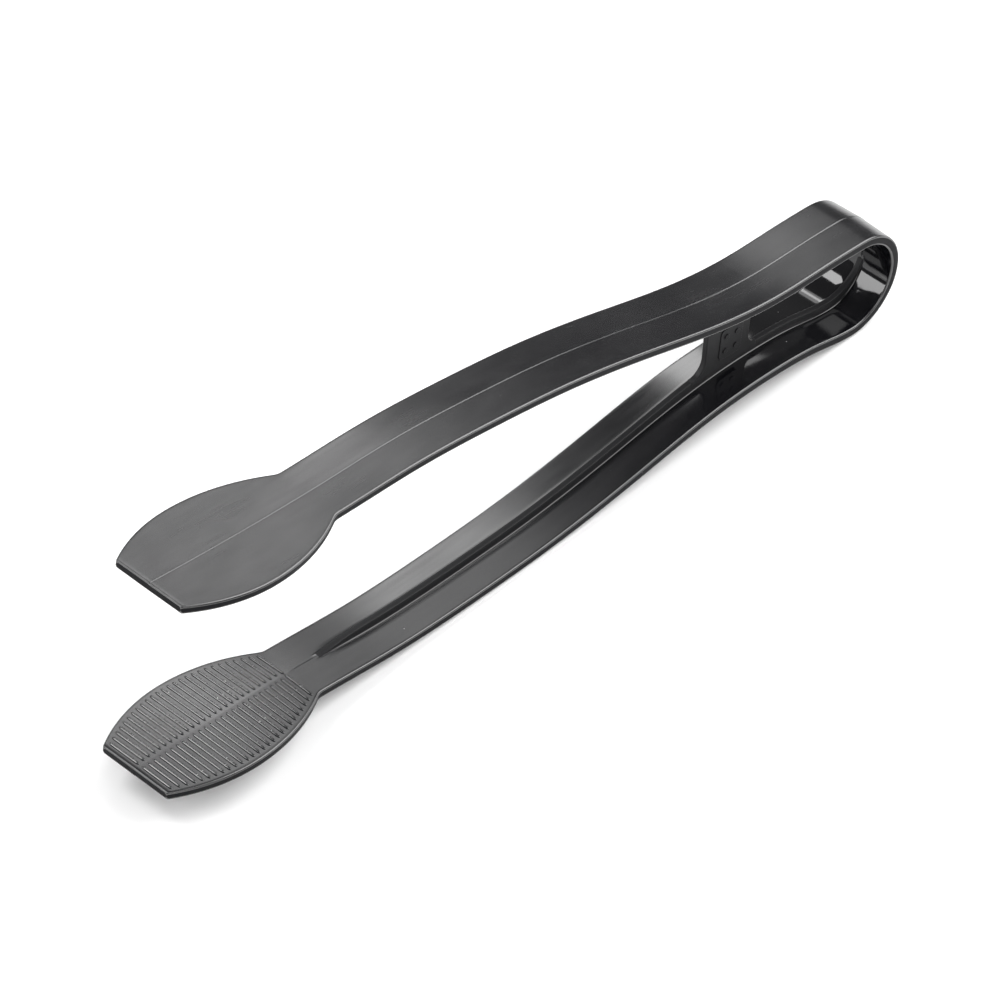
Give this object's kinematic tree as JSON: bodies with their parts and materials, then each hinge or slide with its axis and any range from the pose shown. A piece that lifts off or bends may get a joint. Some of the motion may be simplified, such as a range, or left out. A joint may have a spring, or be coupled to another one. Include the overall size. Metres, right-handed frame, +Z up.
{
  "type": "spring-loaded kitchen tongs",
  "caption": "Moulded plastic kitchen tongs: a round spring loop, long bowed arms with a central stiffening rib and a stop web, and broad blunt blades with cross ridges inside.",
  "frame": {"origin": "middle of the bounding box, on the level surface the tongs lie on", "axes": "-X from the spring loop towards the blunt tips, Y across the width, +Z up; the tongs lie on the lower arm's belly and the underside of the loop"},
  "size_m": [0.2306, 0.031, 0.0615],
  "materials": {
    "black_plastic": "glossy, charcoal black, moulded"
  },
  "bodies": {
    "heel": {"lower_spring_loop": "black_plastic", "lower_heel_strip": "black_plastic", "lower_heel_rib": "black_plastic", "lower_loop_rib": "black_plastic", "stop_web": "black_plastic", "web_pad": "black_plastic"},
    "lower_arm": {"lower_arm_strip": "black_plastic", "lower_arm_rib": "black_plastic", "lower_blade": "black_plastic", "lower_far_grip_ridges": "black_plastic", "lower_near_grip_ridges": "black_plastic"},
    "upper_heel": {"upper_spring_loop": "black_plastic", "upper_heel_strip": "black_plastic"},
    "upper_arm": {"upper_arm_strip": "black_plastic", "upper_arm_rib": "black_plastic", "upper_blade": "black_plastic", "upper_far_grip_ridges": "black_plastic", "upper_near_grip_ridges": "black_plastic"}
  },
  "joints": [
    {"name": "squeeze", "type": "hinge", "parent": "heel", "child": "upper_heel", "pos_m": [0.10131, 0, 0.01395], "axis": [0, -1, 0], "range_deg": [0, 8], "stiffness_Nm_per_rad": 4},
    {"name": "upper_arm_flex", "type": "hinge", "parent": "upper_heel", "child": "upper_arm", "pos_m": [0.04988, 0, 0.02949], "axis": [0, -1, 0], "range_deg": [0, 3.1]},
    {"name": "lower_arm_flex", "type": "hinge", "parent": "heel", "child": "lower_arm", "pos_m": [0.04797, 0, 0.00983], "axis": [0, 1, 0], "range_deg": [0, 3.1]}
  ],
  "couplings": [
    {"joint": "upper_arm_flex", "follows": "squeeze", "ratio": 0.3875},
    {"joint": "lower_arm_flex", "follows": "squeeze", "ratio": 0.3875}
  ]
}
